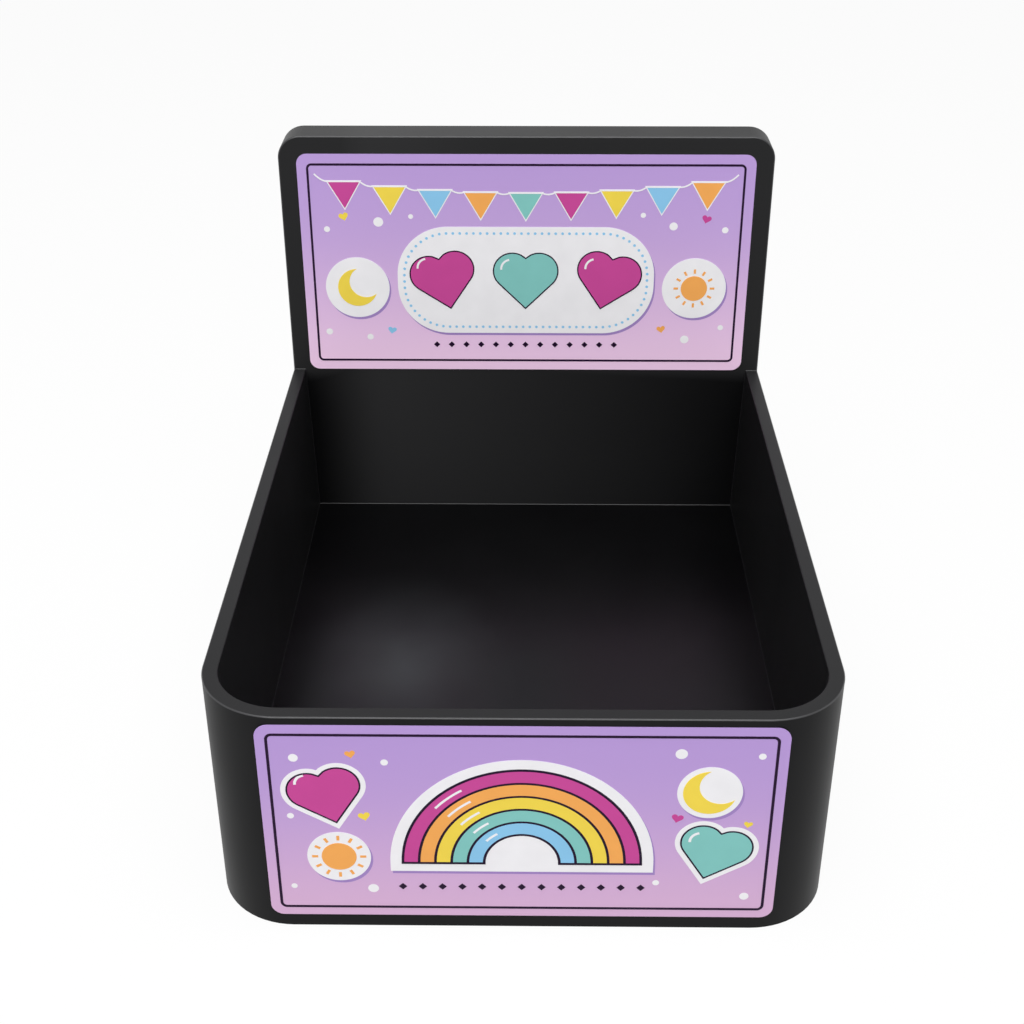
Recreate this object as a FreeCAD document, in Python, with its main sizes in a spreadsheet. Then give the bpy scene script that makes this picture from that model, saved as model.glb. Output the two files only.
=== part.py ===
"""Counter display tray with a tall back board and two printed labels.

The tray stands on the XY plane, +Z is up and its front looks along -Y. The
origin is the bottom centre of the whole object's box. All sizes are millimetres.
"""
import FreeCAD, Part
import math
import os
import re
import Sketcher
from FreeCAD import Placement, Rotation, Vector

# Driving sizes: each one can be changed by itself
SIZES = {
    # Board body
    "overall_width": 254.0,
    "overall_depth": 329.0,
    "overall_height": 237.0,
    "tray_height": 107.0,
    "corner_radius": 33.5,
    "rim_width": 6.4,
    "wall_flare": 2.5,
    "outer_ply": 3.2,
    "rim_round": 0.6,
    "back_thickness": 19.0,
    "back_corner_radius": 12.0,
    "back_round": 0.8,
    "base_thickness": 19.0,
    "base_recess": 3.0,
    "base_round": 0.5,
    "glue_gap": 0.1,
    # Labels
    "label_thickness": 0.4,
    "label_radius": 5.4,
    "header_width": 235.4,
    "header_height": 120.3,
    "header_top_margin": 9.2,
    "front_width": 204.5,
    "front_height": 97.2,
    "front_bottom_margin": 6.3,
    # Print
    "print_ply": 0.1,
    "header_line_inset": 4.9,
    "front_line_inset": 3.9,
    "line_width": 1.15,
    "line_radius": 2.8,
    "flag_pitch": 23.5,
    "flag_radius": 9.6,
    "flag_level": 41.0,
    "flag_sag": 6.0,
    "plaque_width": 136.0,
    "plaque_height": 60.0,
    "plaque_radius": 27.0,
    "plaque_drop": 8.5,
    "plaque_heart": 20.0,
    "plaque_heart_pitch": 40.0,
    "sky_disc": 17.0,
    "sky_disc_reach": 89.5,
    "sky_disc_drop": 12.5,
    "moon_radius": 10.5,
    "sun_radius": 7.0,
    "stud_side": 2.4,
    "stud_pitch": 8.0,
    "header_stud_drop": 47.0,
    "rainbow_radius": 47.0,
    "rainbow_drop": 20.0,
    "band_width": 5.4,
    "band_gap": 1.1,
    "halo_width": 4.5,
    "front_heart": 17.0,
    "front_heart_reach": 73.0,
    "front_heart_rise": 14.0,
    "front_disc_rise": 17.0,
    "front_stud_drop": 34.5,
}

# Formulas that several pieces share
FRONT_LAYERS = 3
FLAG_COUNT = 9
STUD_COUNT = 13
FRONT_Y = f"-(overall_depth - label_thickness - {FRONT_LAYERS} * print_ply) / 2"
BACK_FACE_Y = f"{FRONT_Y} + overall_depth - back_thickness"
FLOOR_TOP = "base_recess + base_thickness"

# Proportions of the printed shapes
HEART_MIDDLE = (1.5 / math.sqrt(2) + 0.5) / 2
PLAQUE_HEART_TURN = 12
FRONT_HEART_TURN = 14
MOON_BITE = 0.82
MOON_BITE_ACROSS = 0.42
MOON_BITE_UP = 0.3

# How near two lengths are that count as equal, and the least volume that a cut takes
TOLERANCE = 1e-4
LEAST_CUT = 1.0

# A sketch's own numbers before the sheet sets them: half width, foot, top and radius
START = (50.0, 10.0, 90.0, 8.0)
# An outline's foot stands this far above its sketch's origin, which a distance needs
FOOT_RISE = 1

doc = FreeCAD.newDocument("DisplayTray")


def make_sheet():
    """Puts every driving size in a cell that carries its name."""
    sheet = doc.addObject("Spreadsheet::Sheet", "Sizes")
    for row, (name, value) in enumerate(SIZES.items(), 1):
        sheet.set(f"A{row}", name)
        sheet.set(f"B{row}", str(value))
        sheet.setAlias(f"B{row}", name)
    doc.recompute()


def in_sheet(formula):
    """Writes a formula's size names as cells of the sheet."""
    names = "|".join(sorted(SIZES, key=len, reverse=True))
    return re.sub(rf"\b({names})\b", r"Sizes.\1", str(formula))


def bind(thing, path, formula):
    thing.setExpression(path, in_sheet(formula))


def place(thing, x="0", y="0", z="0"):
    """Ties a piece's position to the sheet, along each axis that isn't zero."""
    for axis, formula in zip("xyz", (x, y, z)):
        if str(formula) != "0":
            bind(thing, f".Placement.Base.{axis}", formula)


# Sketches

def add_outline(sketch, half_width, low, high, radius=None, rounded="bt"):
    """Draws a closed outline that is even about the upright axis.

    rounded names the ends whose two corners are arcs: b for low, t for high.
    """
    w, l, h, r = START
    rb = r if "b" in rounded else 0.0
    rt = r if "t" in rounded else 0.0
    corners = [
        (Vector(w - rb, l, 0), Vector(w, l + rb, 0), Vector(w - r, l + r, 0), -90, 0),
        (Vector(w, h - rt, 0), Vector(w - rt, h, 0), Vector(w - r, h - r, 0), 0, 90),
        (Vector(rt - w, h, 0), Vector(-w, h - rt, 0), Vector(r - w, h - r, 0), 90, 180),
        (Vector(-w, l + rb, 0), Vector(rb - w, l, 0), Vector(r - w, l + r, 0), 180, 270),
    ]
    is_round = ["b" in rounded, "t" in rounded, "t" in rounded, "b" in rounded]
    sides = []
    for i in range(4):
        line = Part.LineSegment(corners[i - 1][1], corners[i][0])
        sides.append(sketch.addGeometry(line, False))
    arcs = []
    for i in range(4):
        line, after = sides[i], sides[(i + 1) % 4]
        if not is_round[i]:
            sketch.addConstraint(Sketcher.Constraint("Coincident", line, 2, after, 1))
            continue
        centre, first, last = corners[i][2:]
        circle = Part.Circle(centre, Vector(0, 0, 1), r)
        arc = Part.ArcOfCircle(circle, math.radians(first), math.radians(last))
        number = sketch.addGeometry(arc, False)
        sketch.addConstraint(Sketcher.Constraint("Tangent", line, 2, number, 1))
        sketch.addConstraint(Sketcher.Constraint("Tangent", number, 2, after, 1))
        arcs.append(number)
    bottom, right, top, left = sides
    for line in (bottom, top):
        sketch.addConstraint(Sketcher.Constraint("Horizontal", line))
    for line in (right, left):
        sketch.addConstraint(Sketcher.Constraint("Vertical", line))
    for a, b in zip(arcs, arcs[1:]):
        sketch.addConstraint(Sketcher.Constraint("Equal", a, b))
    measures = [
        (Sketcher.Constraint("DistanceX", -1, 1, right, 1, w), half_width),
        (Sketcher.Constraint("DistanceX", left, 1, -1, 1, w), half_width),
        (Sketcher.Constraint("DistanceY", -1, 1, bottom, 1, l), low),
        (Sketcher.Constraint("DistanceY", -1, 1, top, 1, h), high),
    ]
    if arcs:
        measures.append((Sketcher.Constraint("Radius", arcs[0], r), radius))
    for constraint, formula in measures:
        number = sketch.addConstraint(constraint)
        bind(sketch, f"Constraints[{number}]", formula)


def body_sketch(body, name, role):
    """A sketch on one of the body's own origin planes."""
    plane = next(f for f in body.Origin.OriginFeatures if f.Role == role)
    sketch = body.newObject("Sketcher::SketchObject", name)
    sketch.AttachmentSupport = [(plane, "")]
    sketch.MapMode = "FlatFace"
    return sketch


def pad(body, sketch, length, reverse=False):
    feature = body.newObject("PartDesign::Pad", sketch.Name + "_pad")
    feature.Profile = sketch
    feature.Reversed = reverse
    bind(feature, "Length", length)
    doc.recompute()
    return feature


def cut(body, sketch, length, reverse=False, taper=None):
    """A pocket that must take material away."""
    before = body.Shape.Volume
    feature = body.newObject("PartDesign::Pocket", sketch.Name + "_cut")
    feature.Profile = sketch
    feature.Reversed = reverse
    bind(feature, "Length", length)
    if taper:
        bind(feature, "TaperAngle", taper)
    doc.recompute()
    if not body.Shape.Volume < before - LEAST_CUT:
        raise RuntimeError(f"{feature.Name} cuts nothing")
    return feature


def round_edges(body, name, radius, wanted):
    """Rounds the edges of the body's last feature that wanted() picks."""
    last = body.Tip
    names = [f"Edge{i}" for i, edge in enumerate(last.Shape.Edges, 1) if wanted(edge.BoundBox)]
    feature = body.newObject("PartDesign::Fillet", name)
    feature.Base = (last, names)
    bind(feature, "Radius", radius)
    doc.recompute()
    return feature


def lies_at(low, high, level):
    return abs(low - level) < TOLERANCE and abs(high - level) < TOLERANCE


# Board body

def tray_wall():
    """One strip of board, folded over at the rim and bent round the front corners.

    The outer ply stands on the counter and the inner ply stands on the base board,
    a little further in than the rim, so the inside faces lean.
    """
    body = doc.addObject("PartDesign::Body", "tray_wall")
    wall_depth = "overall_depth - back_thickness"
    past_rear = "overall_depth"
    outline = body_sketch(body, "wall_outline", "XY_Plane")
    add_outline(outline, "overall_width / 2", "0", wall_depth, "corner_radius", "b")
    pad(body, outline, "tray_height")
    inside = body_sketch(body, "wall_inside", "XY_Plane")
    add_outline(inside, "overall_width / 2 - rim_width", "rim_width", past_rear,
                "corner_radius - rim_width", "b")
    bind(inside, ".AttachmentOffset.Base.z", "tray_height")
    inner_height = f"tray_height - ({FLOOR_TOP})"
    cut(body, inside, inner_height, taper=f"-atan(wall_flare / ({inner_height}))")
    seat = body_sketch(body, "base_seat", "XY_Plane")
    add_outline(seat, "overall_width / 2 - outer_ply", "outer_ply", past_rear,
                "corner_radius - outer_ply", "b")
    cut(body, seat, FLOOR_TOP, reverse=True)
    rim, rear = SIZES["tray_height"], SIZES["overall_depth"] - SIZES["back_thickness"]
    round_edges(body, "rim_rounding", "rim_round",
                lambda box: lies_at(box.ZMin, box.ZMax, rim)
                and not lies_at(box.YMin, box.YMax, rear))
    place(body, y=FRONT_Y)
    return body


def base_panel():
    """The floor board, which the wall is bent round, set up from the counter."""
    body = doc.addObject("PartDesign::Body", "base_panel")
    outline = body_sketch(body, "base_outline", "XY_Plane")
    add_outline(outline, "overall_width / 2 - outer_ply - glue_gap", "outer_ply + glue_gap",
                "overall_depth - back_thickness", "corner_radius - outer_ply - glue_gap", "b")
    pad(body, outline, "base_thickness")
    top, rear = SIZES["base_thickness"], SIZES["overall_depth"] - SIZES["back_thickness"]
    round_edges(body, "base_rear_rounding", "base_round",
                lambda box: lies_at(box.ZMin, box.ZMax, top)
                and lies_at(box.YMin, box.YMax, rear))
    place(body, y=FRONT_Y, z="base_recess")
    return body


def back_panel():
    """The thick upright board that closes the tray and carries the header."""
    body = doc.addObject("PartDesign::Body", "back_panel")
    outline = body_sketch(body, "back_outline", "XZ_Plane")
    add_outline(outline, "overall_width / 2", "0", "overall_height", "back_corner_radius", "t")
    pad(body, outline, "back_thickness", reverse=True)
    thickness = SIZES["back_thickness"]
    round_edges(body, "back_rounding", "back_round",
                lambda box: (lies_at(box.YMin, box.YMax, 0) or lies_at(box.YMin, box.YMax, thickness))
                and box.ZMax > TOLERANCE)
    place(body, y=BACK_FACE_Y)
    return body


# Labels

LABELS = {
    "header": (BACK_FACE_Y, "overall_height - header_top_margin - header_height"),
    "front": (FRONT_Y, "front_bottom_margin"),
}


def label(side):
    """A printed card with rounded corners, glued flat to its board."""
    face, low = LABELS[side]
    body = doc.addObject("PartDesign::Body", f"{side}_label")
    outline = body_sketch(body, f"{side}_outline", "XZ_Plane")
    add_outline(outline, f"{side}_width / 2", "0", f"{side}_height", "label_radius")
    pad(body, outline, "label_thickness")
    place(body, y=face, z=low)
    return body


# Printed shapes, drawn flat about the label's centre: x across, y up, z out of it

def laid(thing, x="0", y="0", layer=0, turn=0.0):
    """Sets a shape's place on the label and the print layer that it lies on."""
    thing.Placement = Placement(Vector(), Rotation(Vector(0, 0, 1), turn))
    place(thing, x, y, f"{layer} * print_ply" if layer else "0")
    return thing


def disc(radius, x="0", y="0", layer=0, angle=360):
    thing = doc.addObject("Part::Cylinder", "disc")
    bind(thing, "Radius", radius)
    bind(thing, "Height", "print_ply")
    thing.Angle = angle
    return laid(thing, x, y, layer)


def strip(width, height, x="0", y="0", layer=0):
    thing = doc.addObject("Part::Box", "strip")
    bind(thing, "Length", width)
    bind(thing, "Width", height)
    bind(thing, "Height", "print_ply")
    return laid(thing, f"{x} - ({width}) / 2", y, layer)


def minus(base, tool):
    thing = doc.addObject("Part::Cut", "cut")
    thing.Base, thing.Tool = base, tool
    return thing


def joined(*parts):
    thing = doc.addObject("Part::MultiFuse", "joined")
    thing.Shapes = list(parts)
    thing.Refine = True
    return thing


def heart(side, x, y, layer=0, turn=0.0):
    """A square stood on its corner, with a half disc on each upper side."""
    square = doc.addObject("Part::Box", "heart_square")
    bind(square, "Length", side)
    bind(square, "Width", side)
    bind(square, "Height", "print_ply")
    lobes = [disc(f"({side}) / 2", f"({side}) / 2", side), disc(f"({side}) / 2", side, f"({side}) / 2")]
    shape = joined(square, *lobes)
    laid(shape, x, f"{y} - {HEART_MIDDLE:.4f} * ({side})", layer, 45 + turn)
    return shape


def moon(radius, x, y, layer=0):
    """A crescent: one disc with another, set off up and to the right, taken out."""
    bite = disc(f"{MOON_BITE} * ({radius})", f"{x} + {MOON_BITE_ACROSS} * ({radius})",
                f"{y} + {MOON_BITE_UP} * ({radius})", layer)
    return minus(disc(radius, x, y, layer), bite)


def flag(radius, x, y):
    """A pennant: a triangle that hangs from one side."""
    thing = doc.addObject("Part::Prism", "flag")
    thing.Polygon = 3
    bind(thing, "Circumradius", radius)
    bind(thing, "Height", "print_ply")
    return laid(thing, x, y, 0, -90)


def band(outer, inner, y, layer=0):
    """Half a ring, open side down."""
    return minus(disc(outer, "0", y, layer, 180), disc(inner, "0", y, layer, 180))


def plate(half_width, half_height, radius, y="0", layer=0, hole=None):
    """A rounded rectangle, or the line round one where hole gives its width."""
    sketch = doc.addObject("Sketcher::SketchObject", "plate_outline")
    top = f"{FOOT_RISE} + 2 * ({half_height})"
    add_outline(sketch, half_width, str(FOOT_RISE), top, radius)
    if hole:
        add_outline(sketch, f"{half_width} - {hole}", f"{FOOT_RISE} + {hole}",
                    f"{top} - {hole}", f"{radius} - {hole}")
    thing = doc.addObject("Part::Extrusion", "plate")
    thing.Base = sketch
    thing.Dir = Vector(0, 0, 1)
    thing.DirMode = "Custom"
    bind(thing, "LengthFwd", "print_ply")
    thing.Solid = True
    return laid(thing, "0", f"{y} - {FOOT_RISE} - ({half_height})", layer)


def frame_line(side):
    inset = f"{side}_line_inset"
    return plate(f"{side}_width / 2 - {inset}", f"{side}_height / 2 - {inset}",
                 "line_radius", hole="line_width")


def stud(x, y):
    """A small square stood on its corner."""
    thing = doc.addObject("Part::Box", "stud")
    bind(thing, "Length", "stud_side")
    bind(thing, "Width", "stud_side")
    bind(thing, "Height", "print_ply")
    return laid(thing, x, y, 0, 45)


def stud_row(drop):
    middle = (STUD_COUNT - 1) / 2
    return [stud(f"{i - middle} * stud_pitch", f"-{drop}") for i in range(STUD_COUNT)]


def ink(side, colour, shapes):
    """All that one ink prints on one label, set on the label's face."""
    face, low = LABELS[side]
    node = doc.addObject("Part::Compound", f"{side}_print_{colour}")
    node.Links = shapes
    node.Placement = Placement(Vector(), Rotation(Vector(1, 0, 0), 90))
    place(node, y=f"{face} - label_thickness", z=f"{low} + {side}_height / 2")
    return node


def header_print():
    """Pennants over a white plaque with hearts, and a moon and a sun beside it."""
    flags = {}
    colours = ["magenta", "yellow", "sky", "orange", "teal"]
    middle = (FLAG_COUNT - 1) / 2
    for i in range(FLAG_COUNT):
        across = (i - middle) / middle
        level = f"flag_level - {1 - across * across:.4f} * flag_sag"
        shape = flag("flag_radius", f"{i - middle} * flag_pitch", level)
        flags.setdefault(colours[i % len(colours)], []).append(shape)
    hearts = {
        "magenta": [heart("plaque_heart", f"{side}plaque_heart_pitch", "-plaque_drop", 1, turn)
                    for side, turn in (("-", PLAQUE_HEART_TURN), ("", -PLAQUE_HEART_TURN))],
        "teal": [heart("plaque_heart", "0", "-plaque_drop", 1)],
    }
    white = [
        plate("plaque_width / 2", "plaque_height / 2", "plaque_radius", "-plaque_drop"),
        disc("sky_disc", "-sky_disc_reach", "-sky_disc_drop"),
        disc("sky_disc", "sky_disc_reach", "-sky_disc_drop"),
    ]
    moons = [moon("moon_radius", "-sky_disc_reach", "-sky_disc_drop", 1)]
    suns = [disc("sun_radius", "sky_disc_reach", "-sky_disc_drop", 1)]
    return [
        ink("header", "white", white),
        ink("header", "dark", [frame_line("header")] + stud_row("header_stud_drop")),
        ink("header", "magenta", flags["magenta"] + hearts["magenta"]),
        ink("header", "teal", flags["teal"] + hearts["teal"]),
        ink("header", "sky", flags["sky"]),
        ink("header", "yellow", flags["yellow"] + moons),
        ink("header", "orange", flags["orange"] + suns),
    ]


def front_print():
    """A rainbow in a white halo, with a heart and a moon on each side of it."""
    centre = "-rainbow_drop"
    inks = ["magenta", "orange", "yellow", "teal", "sky"]
    bands = {}
    for i, colour in enumerate(inks):
        outer = f"rainbow_radius - {i} * (band_width + band_gap)"
        bands[colour] = [band(outer, f"{outer} - band_width", centre, 2)]
    core = f"rainbow_radius - {len(inks)} * (band_width + band_gap)"
    outline = band("rainbow_radius + band_gap", core, centre, 1)
    halo_radius = "rainbow_radius + band_gap + halo_width"
    halo = joined(disc(halo_radius, "0", centre, 0, 180),
                  strip(f"2 * ({halo_radius})", "halo_width", "0", f"{centre} - halo_width"))
    margin = "halo_width / 2"
    left, right = "-front_heart_reach", "front_heart_reach"
    white = [
        halo,
        disc(f"moon_radius + {margin}", left, "-front_disc_rise"),
        disc(f"moon_radius + {margin}", right, "front_disc_rise"),
    ]
    bands["magenta"].append(heart("front_heart", left, "front_heart_rise", 0, FRONT_HEART_TURN))
    bands["teal"].append(heart("front_heart", right, "-front_heart_rise", 0, -FRONT_HEART_TURN))
    bands["yellow"].append(moon("moon_radius", right, "front_disc_rise", 1))
    bands["orange"].append(disc("sun_radius", left, "-front_disc_rise", 1))
    dark = [frame_line("front"), outline] + stud_row("front_stud_drop")
    nodes = [ink("front", "white", white), ink("front", "dark", dark)]
    return nodes + [ink("front", colour, shapes) for colour, shapes in bands.items()]


def check_all(nodes):
    """Stops if anything failed to build or any sub-part isn't sound."""
    for thing in doc.Objects:
        if {"Invalid", "Error"} & set(thing.State):
            raise RuntimeError(f"{thing.Name} is {thing.State}")
    for node in nodes:
        if node.Shape.isNull() or not node.Shape.isValid() or not node.Shape.Solids:
            raise RuntimeError(f"{node.Label} has no sound solid")


def main():
    make_sheet()
    nodes = [tray_wall(), base_panel(), back_panel(), label("header"), label("front")]
    nodes += header_print() + front_print()
    doc.recompute()
    check_all(nodes)
    os.makedirs("parts", exist_ok=True)
    for node in nodes:
        node.Shape.exportStep(f"parts/{node.Label}.step")
        box = node.Shape.BoundBox
        print(f"{node.Label:22s} solids {len(node.Shape.Solids):3d} volume {node.Shape.Volume:12.1f}"
              f"  X {box.XMin:8.2f} {box.XMax:8.2f}  Y {box.YMin:8.2f} {box.YMax:8.2f}"
              f"  Z {box.ZMin:7.2f} {box.ZMax:7.2f}")


main()
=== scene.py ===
# %% [markdown]
# A counter display tray: an open black tray with a tall, thick back board, and two
# printed labels. The frame holds every solid at its real size and place. This file
# dresses them: it gives each surface its finish, and adds the fine print that is
# too thin to be worth a solid. All lengths below are in metres, and MM turns a
# millimetre into one.

# %% Load the frame
import bmesh
import bpy
import math
from mathutils import Matrix, Vector


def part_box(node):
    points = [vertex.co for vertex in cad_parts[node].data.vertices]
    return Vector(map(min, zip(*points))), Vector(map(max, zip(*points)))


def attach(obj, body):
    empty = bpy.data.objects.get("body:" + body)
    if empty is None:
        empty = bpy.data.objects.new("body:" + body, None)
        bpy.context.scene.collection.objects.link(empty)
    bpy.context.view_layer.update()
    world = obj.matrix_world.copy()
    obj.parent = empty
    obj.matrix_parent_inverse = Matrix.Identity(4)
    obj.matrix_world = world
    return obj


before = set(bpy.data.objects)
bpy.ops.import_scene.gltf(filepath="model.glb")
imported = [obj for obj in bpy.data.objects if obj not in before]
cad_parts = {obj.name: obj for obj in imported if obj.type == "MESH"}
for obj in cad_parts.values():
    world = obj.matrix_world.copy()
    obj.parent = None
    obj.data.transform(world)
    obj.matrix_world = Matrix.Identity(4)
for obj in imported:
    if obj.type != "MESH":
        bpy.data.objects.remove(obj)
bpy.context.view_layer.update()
MM = 0.001
print("pieces in the frame:", len(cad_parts))

# %% [markdown]
# The camera stands a little above the tray and looks down at it, as a shopper does.
# Its place comes from the object's straight edges in the photograph: the fit gives
# the height, the distance and the tilt, and the focal length that makes the near
# edge wider than the far one by the right amount.

# %% Camera
CAMERA_AT = Vector((1.9, -635.5, 471.9)) * MM
CAMERA_TILT_DOWN = 30.22
CAMERA_TURN_LEFT = 0.684
CAMERA_ROLL = -0.0755
SENSOR_WIDTH = 36.0
LENS = 55.05


def turn(degrees, axis):
    return Matrix.Rotation(math.radians(degrees), 4, axis)


camera_data = bpy.data.cameras.new("camera")
camera_data.sensor_width = SENSOR_WIDTH
camera_data.lens = LENS
camera = bpy.data.objects.new("camera", camera_data)
camera.matrix_world = (Matrix.Translation(CAMERA_AT) @ turn(CAMERA_TURN_LEFT, "Z")
                       @ turn(90 - CAMERA_TILT_DOWN, "X") @ turn(CAMERA_ROLL, "Z"))
bpy.context.scene.collection.objects.link(camera)
bpy.context.scene.camera = camera
bpy.context.scene.view_settings.view_transform = "Standard"
print("camera at", [round(v, 3) for v in CAMERA_AT])

# %% [markdown]
# Every finish is a small graph of shader nodes. One function adds a node: it sets
# the node's options, then fills each input with a value or links it to another
# node's output. Colours are written as sRGB hex, as a paint card gives them, and
# one function turns them into the linear numbers that Blender works in. The other
# functions are the few steps that most finishes share: noise of a given size, a run
# from one value to another, a mix of two colours, a bump, and an uneven colour.

# %% Helpers for finishes
FINE_DETAIL = 3.0
# Noise seldom leaves its middle range, so a drift takes its two ends from there
DRIFT_FROM, DRIFT_TO = 0.3, 0.7


def linear(hex_colour):
    """sRGB hex to linear red, green, blue and alpha."""
    channels = [int(hex_colour[i:i + 2], 16) / 255 for i in (1, 3, 5)]
    return [c / 12.92 if c <= 0.04045 else ((c + 0.055) / 1.055) ** 2.4 for c in channels] + [1.0]


def add(tree, kind, inputs=None, **options):
    """Adds a shader node, sets its options and fills or links its inputs."""
    node = tree.nodes.new(kind)
    for name, value in options.items():
        setattr(node, name, value)
    for name, value in (inputs or {}).items():
        if isinstance(value, bpy.types.NodeSocket):
            tree.links.new(value, node.inputs[name])
        else:
            node.inputs[name].default_value = value
    return node


def new_material(name):
    """A material whose graph has only its output, and that output's surface socket."""
    material = bpy.data.materials.new(name)
    material.use_nodes = True
    material.node_tree.nodes.clear()
    output = material.node_tree.nodes.new("ShaderNodeOutputMaterial")
    return material, material.node_tree, output.inputs["Surface"]


def noise(tree, where, size, detail=2.0):
    """Noise whose features are about size metres across."""
    return add(tree, "ShaderNodeTexNoise", {"Vector": where, "Scale": 1 / size, "Detail": detail})


def spread(tree, value, start, end, low=0.0, high=1.0, soft=False):
    """Runs from low where a value is at start to high where it is at end."""
    share = add(tree, "ShaderNodeMapRange", {
        "Value": value, "From Min": start, "From Max": end, "To Min": low, "To Max": high,
    }, interpolation_type="SMOOTHSTEP" if soft else "LINEAR")
    return share.outputs["Result"]


def mixed_tone(tree, share, first, second):
    tone = add(tree, "ShaderNodeMix", {"Factor": share, "A": first, "B": second}, data_type="RGBA")
    return tone.outputs["Result"]


def combined(tree, operation, first, second):
    node = add(tree, "ShaderNodeMath", operation=operation)
    tree.links.new(first, node.inputs[0])
    tree.links.new(second, node.inputs[1])
    return node.outputs["Value"]


def bump(tree, pattern, strength, depth, under=None):
    """The normal of a bumpy surface, which can lie over another bump's normal."""
    inputs = {"Height": pattern.outputs["Fac"], "Strength": strength, "Distance": depth}
    if under is not None:
        inputs["Normal"] = under
    return add(tree, "ShaderNodeBump", inputs).outputs["Normal"]


def uneven(tree, where, hex_colour, size, darkest):
    """A colour that drifts between itself and a darker share of itself."""
    pattern = noise(tree, where, size).outputs["Fac"]
    level = spread(tree, pattern, DRIFT_FROM, DRIFT_TO, darkest, 1.0)
    colour = add(tree, "ShaderNodeHueSaturation", {"Color": linear(hex_colour), "Value": level})
    return colour.outputs["Color"]


# %% [markdown]
# The tray is board covered in matt black laminated paper. To the eye it is nearly
# black with a soft sheen: the film on top mirrors the room very dimly and very
# blurred, and that dim mirror is most of what is seen. So the base colour is almost
# black and the roughness does the work. The paper's fibres leave a fine tooth, and
# the board under it a slow waviness, which break the sheen up a little. Handling
# leaves a smear here and there, which drifts the tone and the roughness.

# %% Matt black laminated board
PAPER_TONES = ("#111112", "#1B1B1C")
FILM_ROUGHNESS = (0.39, 0.45)
FILM_IOR = 1.19
TOOTH, TOOTH_STRENGTH, TOOTH_DEPTH = 0.5 * MM, 0.12, 0.05 * MM
WAVE, WAVE_STRENGTH, WAVE_DEPTH = 40 * MM, 0.08, 1.5 * MM
SMEAR = 70 * MM
SMEAR_FROM, SMEAR_TO = 0.25, 0.75


def laminated_board(name, tones, roughness, ior, painted_light_share, painted_light_grey):
    """Black board whose tone and roughness drift between two values from place to place.

    Its share function gives, at each place, how much of the paler grey is painted over the paper,
    which stands in for light.
    """
    material, tree, surface = new_material(name)
    where = add(tree, "ShaderNodeTexCoord").outputs["Object"]
    tooth = noise(tree, where, TOOTH, FINE_DETAIL)
    wave = noise(tree, where, WAVE)
    smear = noise(tree, where, SMEAR).outputs["Fac"]
    paper = mixed_tone(tree, smear, *[linear(colour) for colour in tones])
    slow = bump(tree, wave, WAVE_STRENGTH, WAVE_DEPTH)
    shader = add(tree, "ShaderNodeBsdfPrincipled", {
        # The paler grey mixed over the paper here is painted light
        "Base Color": mixed_tone(tree, painted_light_share(tree, where), paper, linear(painted_light_grey)),
        "Roughness": spread(tree, smear, SMEAR_FROM, SMEAR_TO, *roughness, soft=True),
        "Normal": bump(tree, tooth, TOOTH_STRENGTH, TOOTH_DEPTH, slow), "IOR": ior,
    })
    tree.links.new(shader.outputs["BSDF"], surface)
    return material


# %% [markdown]
# The wall's rim has a paler grey painted on its top face, a painted highlight where the overhead
# light falls on it. The share of grey rises from none to all over the last half millimetre of
# height, which is the fold's own rounding, so the wall's sides stay black.

# %% Wall with a painted highlight on the rim
# The rim's paler grey is a painted highlight on its top face
RIM_PAINTED_LIGHT_GREY = "#262627"
RIM_LIGHT_FADE = 0.5 * MM
rim_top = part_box("tray_wall")[1][2]


def rim_painted_light_share(tree, where):
    parts = add(tree, "ShaderNodeSeparateXYZ", {"Vector": where})
    return spread(tree, parts.outputs["Z"], rim_top - RIM_LIGHT_FADE, rim_top)


wall_paper = laminated_board("wall_laminated_paper", PAPER_TONES, FILM_ROUGHNESS, FILM_IOR,
                             rim_painted_light_share, RIM_PAINTED_LIGHT_GREY)
print("made", wall_paper.name)

# %% [markdown]
# The back board is painted a paler grey above the rim, as painted light on the header, while inside
# the tray it keeps its near-black paper, as painted shade. Inside the tray it also carries a
# painted pool of light, strongest left of the middle and less and less to the right, which fades
# out within a hand's breadth of the left corner. Two shares, one rising and one falling from left
# to right, give that when they are multiplied.

# %% Back board with painted light above the rim and inside the tray
BACK_TONES = ("#040405", "#080809")
BACK_PAINTED_LIGHT_GREY = "#2B2B2C"
# Where the painted pool of light rises and fades across the back board
RISE_FROM, RISE_TO = -124 * MM, -78 * MM
FALL_FROM, FALL_TO = 130 * MM, -70 * MM
ABOVE_RIM_FADE = 8 * MM
ABOVE_RIM_LIGHT_SHARE = 0.7


def back_painted_light_share(tree, where):
    parts = add(tree, "ShaderNodeSeparateXYZ", {"Vector": where})
    rise = spread(tree, parts.outputs["X"], RISE_FROM, RISE_TO, soft=True)
    fall = spread(tree, parts.outputs["X"], FALL_FROM, FALL_TO)
    above_rim_light = spread(tree, parts.outputs["Z"], rim_top - ABOVE_RIM_FADE, rim_top, high=ABOVE_RIM_LIGHT_SHARE)
    return combined(tree, "MAXIMUM", combined(tree, "MULTIPLY", rise, fall), above_rim_light)


back_paper = laminated_board("back_board_laminated_paper", BACK_TONES, FILM_ROUGHNESS, FILM_IOR,
                             back_painted_light_share, BACK_PAINTED_LIGHT_GREY)
print("made", back_paper.name)

# %% [markdown]
# Goods slide over the floor board, and that has polished its film, so it is darker to look into.
# Left of its middle it has one soft grey patch, a painted reflection of a light. A spherical
# gradient makes that: it is one at the patch's middle, falls fast at first and then slowly to zero
# at its edge, and a slow noise bends it out of the even oval.

# %% Polished floor with a painted reflection
FLOOR_TONES = ("#020203", "#070708")
# Kept above 0.28, because the denoiser draws a thin line where a roughness drifts
# across that value
POLISHED_ROUGHNESS = (0.29, 0.35)
POLISHED_IOR = 1.35
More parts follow.
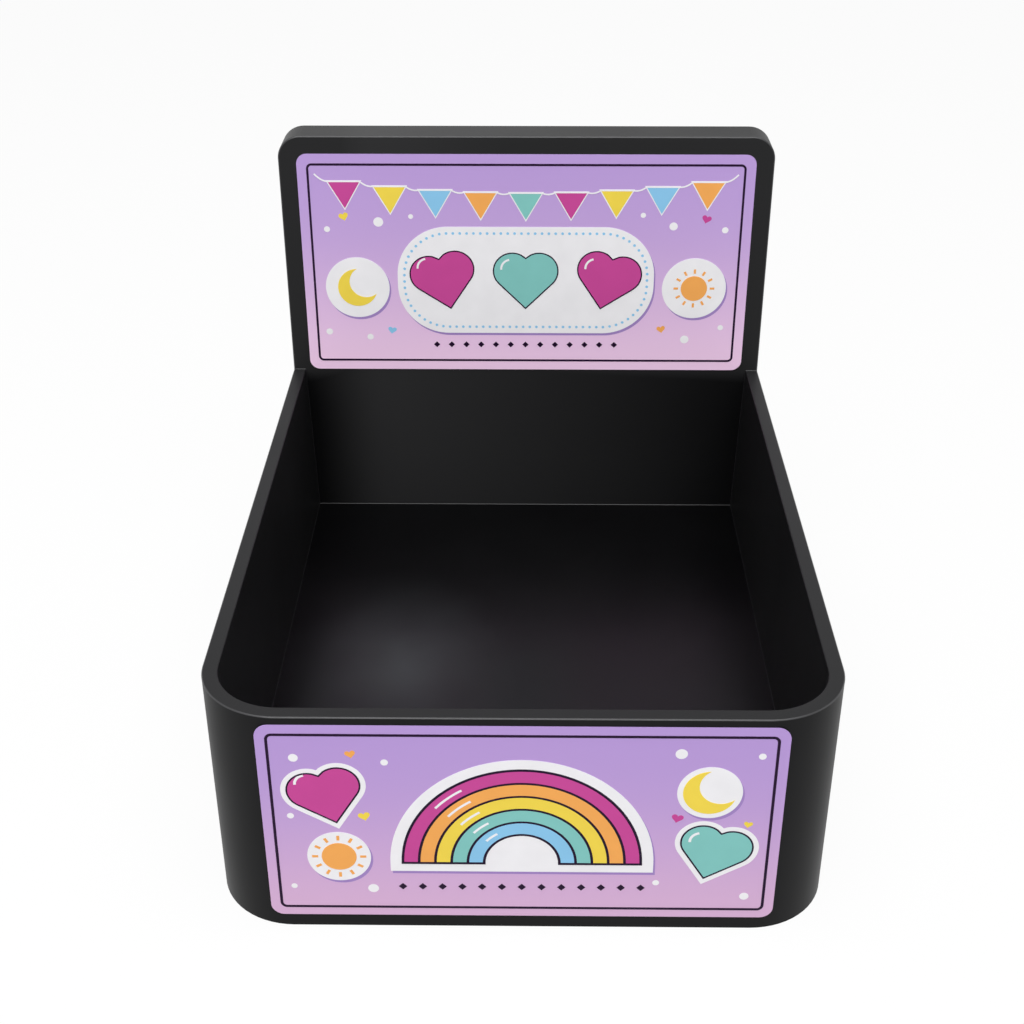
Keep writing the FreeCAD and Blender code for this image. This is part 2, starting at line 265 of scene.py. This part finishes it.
# The patch's grey is a painted reflection of a light
PAINTED_REFLECTION_GREY = "#333738"
PAINTED_REFLECTION_AT = Vector((-60, -12, 22)) * MM
PAINTED_REFLECTION_REACH = Vector((64, 92, 60)) * MM
PAINTED_REFLECTION_BEND = 0.18
PAINTED_REFLECTION_NOISE = 45 * MM


def painted_reflection_share(tree, where):
    bends = noise(tree, where, PAINTED_REFLECTION_NOISE)
    centred = add(tree, "ShaderNodeMapRange", {
        "Vector": bends.outputs["Color"],
        "To Min": (-PAINTED_REFLECTION_BEND,) * 3, "To Max": (PAINTED_REFLECTION_BEND,) * 3,
    }, data_type="FLOAT_VECTOR")
    oval = add(tree, "ShaderNodeMapping", {
        "Vector": where, "Location": PAINTED_REFLECTION_AT, "Scale": PAINTED_REFLECTION_REACH,
    }, vector_type="TEXTURE")
    bent = add(tree, "ShaderNodeVectorMath", operation="ADD")
    tree.links.new(oval.outputs["Vector"], bent.inputs[0])
    tree.links.new(centred.outputs["Vector"], bent.inputs[1])
    patch = add(tree, "ShaderNodeTexGradient", {"Vector": bent.outputs["Vector"]},
                gradient_type="QUADRATIC_SPHERE")
    return patch.outputs["Fac"]


floor_paper = laminated_board("polished_floor_laminated_paper", FLOOR_TONES, POLISHED_ROUGHNESS,
                              POLISHED_IOR, painted_reflection_share, PAINTED_REFLECTION_GREY)
print("made", floor_paper.name)

# %% [markdown]
# The labels are printed card with a satin varnish. The ground runs from lilac at the top to pink at
# the foot. A ramp gives that run: it reads the height within the label's own box, so each label has
# the whole range whatever its size. The header's foot is coloured paler than the front label's, as
# painted light where less light reaches it.

# %% Satin printed card
# From the foot to the top: how far up each colour lies, and the colour
GROUNDS = {
    # The header's paler foot is painted light
    "header": [(0.0, "#FAD6F2"), (0.3, "#E2BFE6"), (0.62, "#C6A7E0"), (1.0, "#BB9DDB")],
    "front": [(0.0, "#DEB7D8"), (0.28, "#D4AFD9"), (0.62, "#BFA0DA"), (1.0, "#B89AD9")],
}
GRAIN, GRAIN_STRENGTH, GRAIN_DEPTH = 0.35 * MM, 0.08, 0.03 * MM
VARNISH_IOR = 1.22
CARD_ROUGHNESS = 0.42


def varnish(tree, surface, colour, where, roughness):
    """Satin varnish over a printed colour, with the faint grain of the card."""
    grain = noise(tree, where, GRAIN, FINE_DETAIL)
    shader = add(tree, "ShaderNodeBsdfPrincipled", {
        "Base Color": colour, "Roughness": roughness, "IOR": VARNISH_IOR,
        "Normal": bump(tree, grain, GRAIN_STRENGTH, GRAIN_DEPTH),
    })
    tree.links.new(shader.outputs["BSDF"], surface)


def lilac_to_pink_card(name, stops, low, high):
    material, tree, surface = new_material(name)
    where = add(tree, "ShaderNodeTexCoord").outputs["Object"]
    parts = add(tree, "ShaderNodeSeparateXYZ", {"Vector": where})
    height = spread(tree, parts.outputs["Z"], low, high)
    ramp = add(tree, "ShaderNodeValToRGB", {"Fac": height})
    ramp.color_ramp.interpolation = "B_SPLINE"
    while len(ramp.color_ramp.elements) < len(stops):
        ramp.color_ramp.elements.new(0.5)
    for element, (at, colour) in zip(ramp.color_ramp.elements, stops):
        element.position = at
        element.color = linear(colour)
    varnish(tree, surface, ramp.outputs["Color"], where, CARD_ROUGHNESS)
    return material


cards = {}
for side in ("header", "front"):
    low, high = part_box(f"{side}_label")
    cards[side] = lilac_to_pink_card(f"satin_card_{side}", GROUNDS[side], low[2], high[2])
print("made", len(cards), "printed cards")

# %% [markdown]
# The inks are flat, opaque colours under the same varnish. Offset ink isn't quite
# even, so each colour drifts by a few hundredths over a centimetre or so.

# %% Inks
INKS = {
    "white": "#F6F5F8",
    "dark": "#1F0A29",
    "magenta": "#CB4C9A",
    "teal": "#86CAC4",
    "sky": "#8FCBF0",
    "yellow": "#F7DB52",
    "orange": "#F9AE5C",
    "shade": "#A487C6",
}
INK_DRIFT = 12 * MM
INK_DARKEST = 0.96
INK_ROUGHNESS = 0.38


def ink(name, hex_colour):
    material, tree, surface = new_material(name)
    where = add(tree, "ShaderNodeTexCoord").outputs["Object"]
    colour = uneven(tree, where, hex_colour, INK_DRIFT, INK_DARKEST)
    varnish(tree, surface, colour, where, INK_ROUGHNESS)
    return material


inks = {name: ink(f"satin_ink_{name}", colour) for name, colour in INKS.items()}
print("made", len(inks), "inks")

# %% [markdown]
# Now each solid of the frame gets its finish. Each board has its own paper, each
# label has its own ground, and a print's colour is the last word of its name.

# %% Dress the solids

def dress(name, material):
    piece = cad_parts[name]
    piece.data.materials.clear()
    piece.data.materials.append(material)


BOARDS = {"tray_wall": wall_paper, "base_panel": floor_paper, "back_panel": back_paper}

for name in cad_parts:
    if name.endswith("_label"):
        dress(name, cards[name.split("_")[0]])
    elif "_print_" in name:
        dress(name, inks[name.split("_")[-1]])
    else:
        dress(name, BOARDS[name])
print("dressed", len(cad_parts), "solids")

# %% [markdown]
# The rest of the print is finer than the solids: outlines, rays, strings and small
# ornaments. Each is flat ink, so it is drawn in two dimensions on its label and then
# given the thickness of a film of ink. Outlines follow the solids themselves: the
# edge of a printed shape is read from its mesh, so the line always fits it.

# %% Drawing tools
INK_FILM = 0.03 * MM
# Corners nearer than this are one corner
WELD = 0.001 * MM
# A face looks forwards when its normal's part along Y is below this
FACING_FRONT = -0.9
# The sine of the turn at an inward corner, such as a heart's notch, is below this
NOTCH_TURN = -0.5
# A corner moves no further than an outline's shift divided by this
LEAST_STRETCH = 0.4


def outlines(name):
    """The closed edges of a print's front faces, as (depth, points across and up)."""
    mesh = bmesh.new()
    mesh.from_mesh(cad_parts[name].data)
    bmesh.ops.remove_doubles(mesh, verts=mesh.verts, dist=WELD)
    front = {face for face in mesh.faces if face.normal.y < FACING_FRONT}
    border = [e for e in mesh.edges if sum(face in front for face in e.link_faces) == 1]
    after = {}
    for edge in border:
        for a, b in (edge.verts, reversed(edge.verts)):
            after.setdefault(a, []).append(b)
    loops, seen = [], set()
    for start in after:
        if start in seen:
            continue
        loop, here = [], start
        while here is not None:
            seen.add(here)
            loop.append(here)
            here = next((v for v in after[here] if v not in seen), None)
        loops.append((loop[0].co.y, [Vector((v.co.x, v.co.z)) for v in loop]))
    mesh.free()
    return [(depth, counter_clockwise(points)) for depth, points in loops]


def counter_clockwise(points):
    area = sum(a.cross(b) for a, b in zip(points, points[1:] + points[:1]))
    return points if area > 0 else points[::-1]


def centre_of(points):
    across, up = [p.x for p in points], [p.y for p in points]
    return Vector(((min(across) + max(across)) / 2, (min(up) + max(up)) / 2))


def span_of(points):
    across = [p.x for p in points]
    return max(across) - min(across)


def shifted(points, distance):
    """A closed outline moved to its own right, which is outwards, by a distance."""
    moved = []
    for before, here, after in zip(points[-1:] + points[:-1], points, points[1:] + points[:1]):
        first, second = (here - before).normalized(), (after - here).normalized()
        normal = (Vector((first.y, -first.x)) + Vector((second.y, -second.x))).normalized()
        stretch = max(LEAST_STRETCH, normal.dot(Vector((first.y, -first.x))))
        moved.append(here + normal * distance / stretch)
    return moved


def without_notch(points, gap):
    """Leaves out an outline's points that lie within a gap of an inward corner."""
    turns = zip(points[-1:] + points[:-1], points, points[1:] + points[:1])
    notches = [b for a, b, c in turns
               if (b - a).normalized().cross((c - b).normalized()) < NOTCH_TURN]
    return [p for p in points if all(p == n or (p - n).length > gap for n in notches)]


def ring(points, inner, outer):
    """The band between two shifts of a closed outline, as four-sided faces."""
    a, b = shifted(points, inner), shifted(points, outer)
    n = len(points)
    return [[b[i], b[(i + 1) % n], a[(i + 1) % n], a[i]] for i in range(n)]


def stroke(points, width):
    """An open line of a given width, as one four-sided face for each stretch."""
    sides = []
    for i, here in enumerate(points):
        ahead = points[min(i + 1, len(points) - 1)] - points[max(i - 1, 0)]
        normal = Vector((-ahead.y, ahead.x)).normalized() * width / 2
        sides.append((here + normal, here - normal))
    return [[sides[i][1], sides[i + 1][1], sides[i + 1][0], sides[i][0]]
            for i in range(len(points) - 1)]


def dot(centre, radius, sides=16):
    turns = [2 * math.pi * i / sides for i in range(sides)]
    return [[centre + Vector((math.cos(t), math.sin(t))) * radius for t in turns]]


def set_up(name, mesh, material):
    """Makes an object of a mesh, fixed to the tray, and frees the mesh."""
    data = bpy.data.meshes.new(name)
    mesh.to_mesh(data)
    mesh.free()
    data.materials.append(material)
    piece = bpy.data.objects.new(name, data)
    bpy.context.scene.collection.objects.link(piece)
    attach(piece, "root")
    print("made", name, "with", len(data.polygons), "faces")


def key_of(point):
    """A point's place, rounded so that the shared corner of two faces is one corner."""
    return round(point.x / MM, 4), round(point.y / MM, 4)


def printed(name, colour, drawings):
    """Makes one piece of ink from (depth, faces) pairs, each a film on that depth."""
    mesh = bmesh.new()
    for depth, faces in drawings:
        corners = {}
        for face in faces:
            for point in face:
                key = key_of(point)
                if key not in corners:
                    corners[key] = [mesh.verts.new((point.x, depth - lift, point.y))
                                    for lift in (INK_FILM, 0.0)]
        keys = [[key_of(point) for point in face] for face in faces]
        steps = {(a, b) for face in keys for a, b in zip(face, face[1:] + face[:1])}
        for face in keys:
            mesh.faces.new([corners[key][0] for key in face])
            mesh.faces.new([corners[key][1] for key in reversed(face)])
        for a, b in steps:
            if (b, a) not in steps:
                mesh.faces.new((corners[b][0], corners[a][0], corners[a][1], corners[b][1]))
    set_up(name, mesh, inks[colour])


# %% [markdown]
# Hearts are the largest coloured shapes, so they carry a dark outline, as cut-out
# lettering often does, and on the front label a white one outside it. A short white
# arc on the upper left lobe makes each look glossy.

# %% Heart outlines and shine
# A magenta or teal shape is a heart when its width lies between these: the pennants
# are narrower and the rainbow's bands wider
LARGE, HALF_RAINBOW = 24 * MM, 45 * MM
OUTLINE = 0.7 * MM
WHITE_EDGE = 2.4 * MM
SHINE_WIDTH = 1.1 * MM
# The shine's middle and radius as shares of the heart's width, and its two angles
SHINE_AT = Vector((-0.23, 0.2))
SHINE_RADIUS = 0.15
SHINE_FROM, SHINE_TO = 100, 185


def hearts_of(side):
    found = []
    for colour in ("magenta", "teal"):
        for depth, points in outlines(f"{side}_print_{colour}"):
            wide = span_of(points)
            if LARGE < wide < HALF_RAINBOW:
                found.append((depth, without_notch(points, WHITE_EDGE)))
    return found


def arc(centre, radius, start, end, steps=12):
    """Points along part of a circle, its angles in degrees from the right."""
    turns = [math.radians(start + (end - start) * i / steps) for i in range(steps + 1)]
    return [centre + Vector((math.cos(t), math.sin(t))) * radius for t in turns]


def shine(points):
    """A short arc inside the upper left part of a shape."""
    wide = span_of(points)
    lobe = centre_of(points) + SHINE_AT * wide
    return stroke(arc(lobe, SHINE_RADIUS * wide, SHINE_FROM, SHINE_TO), SHINE_WIDTH)


for side in ("header", "front"):
    hearts = hearts_of(side)
    printed(f"{side}_heart_outlines", "dark",
            [(depth, ring(points, -OUTLINE / 2, OUTLINE / 2)) for depth, points in hearts])
    printed(f"{side}_heart_shine", "white", [(depth, shine(points)) for depth, points in hearts])
front_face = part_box("front_label")[0][1]
printed("front_heart_edges", "white",
        [(front_face, ring(points, OUTLINE / 2, WHITE_EDGE)) for _, points in hearts_of("front")])

# %% [markdown]
# The pennants hang on a string. It runs level along the top of each one, whose
# corners are read from the solids, and sags a little between them and at the ends. A
# thin white edge sets each pennant off from the ground.

# %% Bunting
STRING = 0.8 * MM
STRING_END = 109 * MM
STRING_END_RISE = 4.0 * MM
STRING_SAG = 0.9 * MM
FLAG_EDGE = 0.55 * MM


def sagging(start, end, sag, steps=6):
    """Points from start to end along a line that hangs by sag at its middle."""
    shares = [i / steps for i in range(steps + 1)]
    return [start.lerp(end, t) - Vector((0, 4 * sag * t * (1 - t))) for t in shares]


def top_corners(points):
    """The two upper corners of a pennant, the left one first."""
    upper = sorted(points, key=lambda p: p.y)[1:]
    return sorted(upper, key=lambda p: p.x)


flags = []
for colour in ("magenta", "yellow", "sky", "orange", "teal"):
    flags += [found for found in outlines(f"header_print_{colour}") if len(found[1]) == 3]
tops = sorted((top_corners(points) for _, points in flags), key=lambda pair: pair[0].x)
rise = Vector((0, STRING_END_RISE))
ends = [Vector((-STRING_END, tops[0][0].y)) + rise, Vector((STRING_END, tops[-1][1].y)) + rise]
stops = [ends[0]] + [corner for pair in tops for corner in pair] + [ends[1]]
route = stops[:1]
for i in range(0, len(stops), 2):
    route += sagging(stops[i], stops[i + 1], STRING_SAG)[1:]
    route += stops[i + 2:i + 3]
header_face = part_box("header_label")[0][1]
flag_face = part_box("header_print_sky")[0][1]
printed("bunting_string", "white", [(flag_face, stroke(route, STRING))])
printed("flag_edges", "white", [(header_face, ring(points, 0, FLAG_EDGE)) for _, points in flags])

# %% [markdown]
# The white plaque has a row of small blue beads inside its edge. They are spaced by
# walking round a smaller copy of the plaque's outline in equal steps.

# %% Plaque beads
BEAD = 0.75 * MM
BEAD_STEP = 3.6 * MM
BEAD_INSET = 3.6 * MM


def walk(points, step):
    """Equally spaced points along a closed outline, near the step asked for."""
    closed = points + points[:1]
    lengths = [(b - a).length for a, b in zip(closed, closed[1:])]
    total = sum(lengths)
    count = round(total / step)
    places, travelled, i = [], 0.0, 0
    for n in range(count):
        target = total * n / count
        while travelled + lengths[i] < target:
            travelled += lengths[i]
            i += 1
        places.append(closed[i].lerp(closed[i + 1], (target - travelled) / lengths[i]))
    return places


white_depth, plaque = max(outlines("header_print_white"), key=lambda found: span_of(found[1]))
bead_places = walk(shifted(plaque, -BEAD_INSET), BEAD_STEP)
beads = [face for place in bead_places for face in dot(place, BEAD)]
printed("plaque_beads", "sky", [(white_depth, beads)])

# %% [markdown]
# Each sun gets a ring of short rays, one after another round its disc.

# %% Sun rays
SUN_WIDTH = 14 * MM
SUN_SPARE = 0.5 * MM
RAY_COUNT = 12
RAY_WIDTH = 1.2 * MM
RAY_FROM, RAY_TO = 1.2, 1.55


def rays(points):
    middle, radius = centre_of(points), span_of(points) / 2
    turns = [2 * math.pi * i / RAY_COUNT for i in range(RAY_COUNT)]
    ways = [Vector((math.cos(t), math.sin(t))) for t in turns]
    lines = [[middle + way * radius * reach for reach in (RAY_FROM, RAY_TO)] for way in ways]
    return [face for line in lines for face in stroke(line, RAY_WIDTH)]


for side in ("header", "front"):
    suns = [found for found in outlines(f"{side}_print_orange")
            if abs(span_of(found[1]) - SUN_WIDTH) < SUN_SPARE]
    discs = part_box(f"{side}_print_white")[0][1]
    printed(f"{side}_sun_rays", "orange", [(discs, rays(points)) for _, points in suns])

# %% [markdown]
# A flat print looks layered when each white shape throws a shadow. The shadow is the
# same shape in a deeper lilac, moved down and to the right, under the white ink.

# %% Printed shadows
SHADOW_SHIFT = Vector((0.8, -1.3)) * MM

for side, face in (("header", header_face), ("front", front_face)):
    printed(f"{side}_print_shadows", "shade",
            [(face, [[point + SHADOW_SHIFT for point in points]])
             for _, points in outlines(f"{side}_print_white")])

# %% [markdown]
# The rainbow stands on two short dark feet, in line with the dark lines between its
# bands, and each band has a short white gleam where the shine on the hearts is.

# %% Rainbow feet and gleams
FOOT_LINE = 1.1 * MM
GLEAM = 1.0 * MM
GLEAM_FROM, GLEAM_TO = 122, 140
# A band is centred on the label to within this, and its curve has more points than this
BAND_SPARE = 1 * MM
BAND_POINTS = 20
# A point this little above the bands' foot is on it, or near it
AT_FOOT, NEAR_FOOT = 0.1 * MM, 1 * MM

bands = []
for colour in ("magenta", "orange", "yellow", "teal", "sky"):
    bands += [found for found in outlines(f"front_print_{colour}")
              if abs(centre_of(found[1]).x) < BAND_SPARE and len(found[1]) > BAND_POINTS]
band_depth = bands[0][0]
foot = min(point.y for _, points in bands for point in points)
outer = max(span_of(points) for _, points in bands) / 2
inner = min(abs(point.x) for _, points in bands for point in points
            if point.y < foot + NEAR_FOOT)
feet = []
for way in (-1, 1):
    ends = [Vector((way * (inner - FOOT_LINE), foot)), Vector((way * (outer + FOOT_LINE), foot))]
    feet += stroke(sorted(ends, key=lambda p: p.x), FOOT_LINE)
printed("rainbow_feet", "dark", [(band_depth, feet)])
gleams = []
for _, points in bands:
    reach = [abs(point.x) for point in points if point.y < foot + AT_FOOT]
    middle = (min(reach) + max(reach)) / 2
    gleams += stroke(arc(Vector((0, foot)), middle, GLEAM_TO, GLEAM_FROM), GLEAM)
printed("rainbow_gleams", "white", [(band_depth, gleams)])

# %% [markdown]
# Small hearts and bubbles fill the plain ground between the large shapes, as on much printed
# packaging. Their places are listed, across and up from the label's middle in millimetres.

# %% Small ornaments
BUBBLES = {
    "header": [(-77, 24, 2.6), (77, 22, 2.2), (-104, 20, 1.6), (104, 20, 1.7), (-84, -41, 1.7),
               (86, -42, 2.3), (-60, 27, 1.3), (61, 28, 1.4), (-106, -38, 1.8), (105, -35, 1.5)],
    "front": [(-88, 33, 1.9), (90, -37, 1.9), (-60, -34, 2.2), (61, 36, 2.4), (-53, 31, 1.5),
              (-92, -33, 1.3), (54, -30, 1.4), (-91, 4, 1.4), (92, 35, 1.5)],
}
TINY_HEARTS = {
    "header": [(-95, 27, 5.0, 15), (94, 26, 5.0, -15), (-72, -37, 4.6, -10), (73, -36, 4.6, 10)],
    "front": [(-62, 4, 4.8, 12), (61, 4, 4.8, -12), (-48, -8, 3.4, -14), (-66, 35, 4.2, 10),
              (89, 1, 3.6, -8)],
}
TINY_COLOURS = ["yellow", "magenta", "sky", "orange"]
HEART_POINTS = 28
# The width of the formula's heart
HEART_SPAN = 32


def tiny_heart(x, y, wide, tilt):
    """A heart's outline from the usual pair of sines and cosines, as one face."""
    points = []
    for i in range(HEART_POINTS):
        t = 2 * math.pi * i / HEART_POINTS
        across = 16 * math.sin(t) ** 3
        up = 13 * math.cos(t) - 5 * math.cos(2 * t) - 2 * math.cos(3 * t) - math.cos(4 * t)
        points.append(Vector((-across, up)) * wide / HEART_SPAN)
    spin = Matrix.Rotation(math.radians(tilt), 2)
    return [spin @ point + Vector((x, y)) for point in points]


for side, face in (("header", header_face), ("front", front_face)):
    low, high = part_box(f"{side}_label")
    middle = Vector(((low[0] + high[0]) / 2, (low[2] + high[2]) / 2))
    printed(f"{side}_bubbles", "white", [
        (face, [b for x, y, r in BUBBLES[side] for b in dot(middle + Vector((x, y)) * MM, r * MM)]),
    ])
    by_colour = {}
    for i, (x, y, wide, tilt) in enumerate(TINY_HEARTS[side]):
        outline = [middle + point * MM for point in tiny_heart(x, y, wide, tilt)]
        by_colour.setdefault(TINY_COLOURS[i % len(TINY_COLOURS)], []).append((face, [outline]))
    for colour, drawings in by_colour.items():
        printed(f"{side}_tiny_hearts_{colour}", colour, drawings)

# %% [markdown]
# The boards are glued where they meet, and a thin line of dried glue shows at each inside joint:
# round the foot of the wall, along the foot of the back board, up its two corners and across the
# ends of the rim. The glue's grey is a little paler than the board's, a painted highlight along
# each joint. A bead is a three-sided rod. Each of its stations is the joint itself and one point
# out along each of the two faces.

# %% Dried glue with a painted highlight
# The wall's own sizes
RIM_WIDTH = 6.4 * MM
WALL_FLARE = 2.5 * MM
CORNER_RADIUS = 33.5 * MM

GLUE_BEAD = 0.22 * MM
# Paler than the board: a painted highlight along the joints
GLUE_HIGHLIGHT_GREY = "#1C1C1E"
GLUE_ROUGHNESS = 0.4
GLUE_STEPS = 24
PLASTIC_IOR = 1.46
RIPPLE = 6 * MM
PLASTIC_DARKEST = 0.75

wall_low, wall_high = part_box("tray_wall")
floor_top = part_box("base_panel")[1][2]
joint_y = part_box("back_panel")[0][1]


def satin_plastic(name, colour, roughness):
    """Dried glue or an edge's skin, both paler than the board for a painted highlight: smooth, with
    a tone that drifts along it.
    """
    material, tree, surface = new_material(name)
    where = add(tree, "ShaderNodeTexCoord").outputs["Object"]
    shader = add(tree, "ShaderNodeBsdfPrincipled", {
        "Base Color": uneven(tree, where, colour, RIPPLE, PLASTIC_DARKEST),
        "Roughness": roughness, "IOR": PLASTIC_IOR,
    })
    tree.links.new(shader.outputs["BSDF"], surface)
    return material


def wall_route(inset, steps):
    """The wall's plan at some inset from its outer face, as points and outward ways.

    Each round corner is divided into steps.
    """
    half, radius = wall_high[0] - inset, CORNER_RADIUS - inset
    across, front = half - radius, wall_low[1] + CORNER_RADIUS
    route = [(Vector((-half, joint_y)), Vector((-1, 0)))]
    for centre_x, start in ((-across, 180), (across, 270)):
        for i in range(steps + 1):
            t = math.radians(start + 90 * i / steps)
            way = Vector((math.cos(t), math.sin(t)))
            route.append((Vector((centre_x, front)) + way * radius, way))
    route.append((Vector((half, joint_y)), Vector((1, 0))))
    return route


def rod(mesh, stations):
    """Joins equal loops of points, one after another, into one closed rod."""
    rings = [[mesh.verts.new(point) for point in station] for station in stations]
    n = len(rings[0])
    for a, b in zip(rings, rings[1:]):
        for i in range(n):
            mesh.faces.new((a[i], a[(i + 1) % n], b[(i + 1) % n], b[i]))
    mesh.faces.new(rings[0][::-1])
    mesh.faces.new(rings[-1])


up, forward = Vector((0, 0, GLUE_BEAD)), Vector((0, -GLUE_BEAD, 0))
glue = bmesh.new()
foot_stations = []
for place, way in wall_route(RIM_WIDTH + WALL_FLARE, GLUE_STEPS):
    joint = Vector((place.x, place.y, floor_top))
    foot_stations.append((joint, joint + up, joint - Vector((way.x, way.y, 0)) * GLUE_BEAD))
rod(glue, foot_stations)
foot_half = wall_high[0] - RIM_WIDTH - WALL_FLARE
foot_ends = [Vector((x, joint_y, floor_top)) for x in (-foot_half, foot_half)]
rod(glue, [(joint, joint + forward, joint + up) for joint in foot_ends])
for side in (-1, 1):
    outward = Vector((side * GLUE_BEAD, 0, 0))
    corner = [Vector((side * (wall_high[0] - RIM_WIDTH - flare), joint_y, z))
              for flare, z in ((WALL_FLARE, floor_top), (0.0, wall_high[2]))]
    rod(glue, [(joint, joint - outward, joint + forward) for joint in corner])
    rim = [Vector((side * (wall_high[0] - inset), joint_y, wall_high[2]))
           for inset in (0.0, RIM_WIDTH)]
    rod(glue, [(joint, joint + forward, joint + up) for joint in rim])
bmesh.ops.recalc_face_normals(glue, faces=glue.faces)
set_up("glue_lines", glue, satin_plastic("dried_glue_painted_highlight", GLUE_HIGHLIGHT_GREY, GLUE_ROUGHNESS))

# %% [markdown]
# Folded and cut edges catch the light, so each edge carries a glossy grey skin, paler than the
# board: partly real gloss and partly a painted highlight. Each skin lies thin over the board's own
# rounding, from a little above the side face to a little short of the top face.

# %% Edges with a painted highlight
# The boards' own roundings
RIM_ROUND = 0.6 * MM
BACK_ROUND = 0.8 * MM
BACK_CORNER = 12.0 * MM

SKIN = 0.03 * MM
SKIN_ROOT = 0.08 * MM
# The skin's paler grey is a painted highlight
EDGE_HIGHLIGHT_GREY = "#363638"
EDGE_SKIN_ROUGHNESS = 0.28
SKIN_FROM, SKIN_TO, SKIN_STEPS = 12, 78, 5
CORNER_STEPS = 48

skin_turns = [math.radians(SKIN_FROM + (SKIN_TO - SKIN_FROM) * i / SKIN_STEPS)
             for i in range(SKIN_STEPS + 1)]


def skin_station(centre, side_way, top_way, radius):
    """A thin arc of skin about the centre of a rounding, between its two faces' ways."""
    ways = [side_way * math.cos(t) + top_way * math.sin(t) for t in skin_turns]
    return ([centre + way * (radius + SKIN) for way in ways]
            + [centre + way * (radius - SKIN_ROOT) for way in reversed(ways)])


edge_highlight = bmesh.new()
rod(edge_highlight, [
    skin_station(Vector((place.x, place.y, wall_high[2] - RIM_ROUND)), Vector((way.x, way.y, 0)),
                 Vector((0, 0, 1)), RIM_ROUND)
    for place, way in wall_route(RIM_ROUND, CORNER_STEPS)])

back_low, back_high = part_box("back_panel")
back_half, back_top = back_high[0] - BACK_ROUND, back_high[2] - BACK_ROUND
bend = BACK_CORNER - BACK_ROUND
edge = [(Vector((-back_half, wall_high[2])), Vector((-1, 0)))]
for centre_x, start in ((bend - back_half, 180), (back_half - bend, 90)):
    for i in range(CORNER_STEPS + 1):
        t = math.radians(start - 90 * i / CORNER_STEPS)
        way = Vector((math.cos(t), math.sin(t)))
        edge.append((Vector((centre_x, back_top - bend)) + way * bend, way))
edge.append((Vector((back_half, wall_high[2])), Vector((1, 0))))
rod(edge_highlight, [
    skin_station(Vector((place.x, back_low[1] + BACK_ROUND, place.y)), Vector((0, -1, 0)),
                 Vector((way.x, 0, way.y)), BACK_ROUND)
    for place, way in edge])
bmesh.ops.recalc_face_normals(edge_highlight, faces=edge_highlight.faces)
set_up("edge_highlight_skins", edge_highlight, satin_plastic("edge_highlight_film", EDGE_HIGHLIGHT_GREY, EDGE_SKIN_ROUGHNESS))

# %% [markdown]
# The light is a plain photo tent: a white world all round, one large soft light
# overhead and one from the front. The ground is white, and seen by the camera it is
# lifted most of the way to the page's white, so only a trace of the object's own soft
# shadow is left on it. It throws back less light than it shows, as a grey card would,
# so the front label isn't lit more than the header.

# %% Light and floor
FLOOR_SEEN = "#F2F2F2"
FLOOR_BOUNCE = "#A0A0A0"
WORLD_LIGHT = 0.35
WHITE = (1.0, 1.0, 1.0, 1.0)
FLOOR_SIZE = 8.0
FLOOR_LIFT = 0.93
LIGHT_SIZE = (1.6, 1.0)
# For each soft light: where it hangs, where it aims, and its watts
SOFT_LIGHTS = {
    "overhead_tent": ((0.0, -0.35, 1.5), (0.0, 0.0, 0.1), 18.0),
    "front_fill": ((-0.2, -1.8, 0.9), (0.0, 0.0, 0.12), 19.0),
}


def soft_light(name, at, aim, watts):
    data = bpy.data.lights.new(name, "AREA")
    data.shape = "RECTANGLE"
    data.size, data.size_y = LIGHT_SIZE
    data.energy = watts
    light = bpy.data.objects.new(name, data)
    light.location = at
    light.rotation_euler = (Vector(aim) - Vector(at)).to_track_quat("-Z", "Y").to_euler()
    bpy.context.scene.collection.objects.link(light)


for name, (at, aim, watts) in SOFT_LIGHTS.items():
    soft_light(name, at, aim, watts)


def seen_directly(tree):
    """One where the camera or a mirror looks straight at a surface, else zero."""
    path = add(tree, "ShaderNodeLightPath")
    seen = path.outputs["Is Camera Ray"]
    for kind in ("Is Glossy Ray", "Is Transmission Ray"):
        seen = combined(tree, "MAXIMUM", seen, path.outputs[kind])
    return seen


world = bpy.data.worlds.new("white_tent")
bpy.context.scene.world = world
world.use_nodes = True
world.node_tree.nodes.clear()
strength = spread(world.node_tree, seen_directly(world.node_tree), 0.0, 1.0, WORLD_LIGHT, 1.0)
sky = add(world.node_tree, "ShaderNodeBackground", {"Color": WHITE, "Strength": strength})
add(world.node_tree, "ShaderNodeOutputWorld", {"Surface": sky.outputs["Background"]})

floor_material, tree, surface = new_material("white_floor")
paper_tone = mixed_tone(tree, seen_directly(tree), linear(FLOOR_BOUNCE), linear(FLOOR_SEEN))
paper = add(tree, "ShaderNodeBsdfDiffuse", {"Color": paper_tone})
page = add(tree, "ShaderNodeEmission", {"Color": WHITE, "Strength": 1.0})
lift = spread(tree, seen_directly(tree), 0.0, 1.0, high=FLOOR_LIFT)
mixed = add(tree, "ShaderNodeMixShader", {"Fac": lift})
tree.links.new(paper.outputs["BSDF"], mixed.inputs[1])
tree.links.new(page.outputs["Emission"], mixed.inputs[2])
tree.links.new(mixed.outputs["Shader"], surface)
end = FLOOR_SIZE / 2
floor_corners = [(-end, -end, 0), (end, -end, 0), (end, end, 0), (-end, end, 0)]
floor_mesh = bpy.data.meshes.new("floor")
floor_mesh.from_pydata(floor_corners, [], [(0, 1, 2, 3)])
floor_mesh.materials.append(floor_material)
floor = bpy.data.objects.new("floor", floor_mesh)
bpy.context.scene.collection.objects.link(floor)
print("lit the tent")
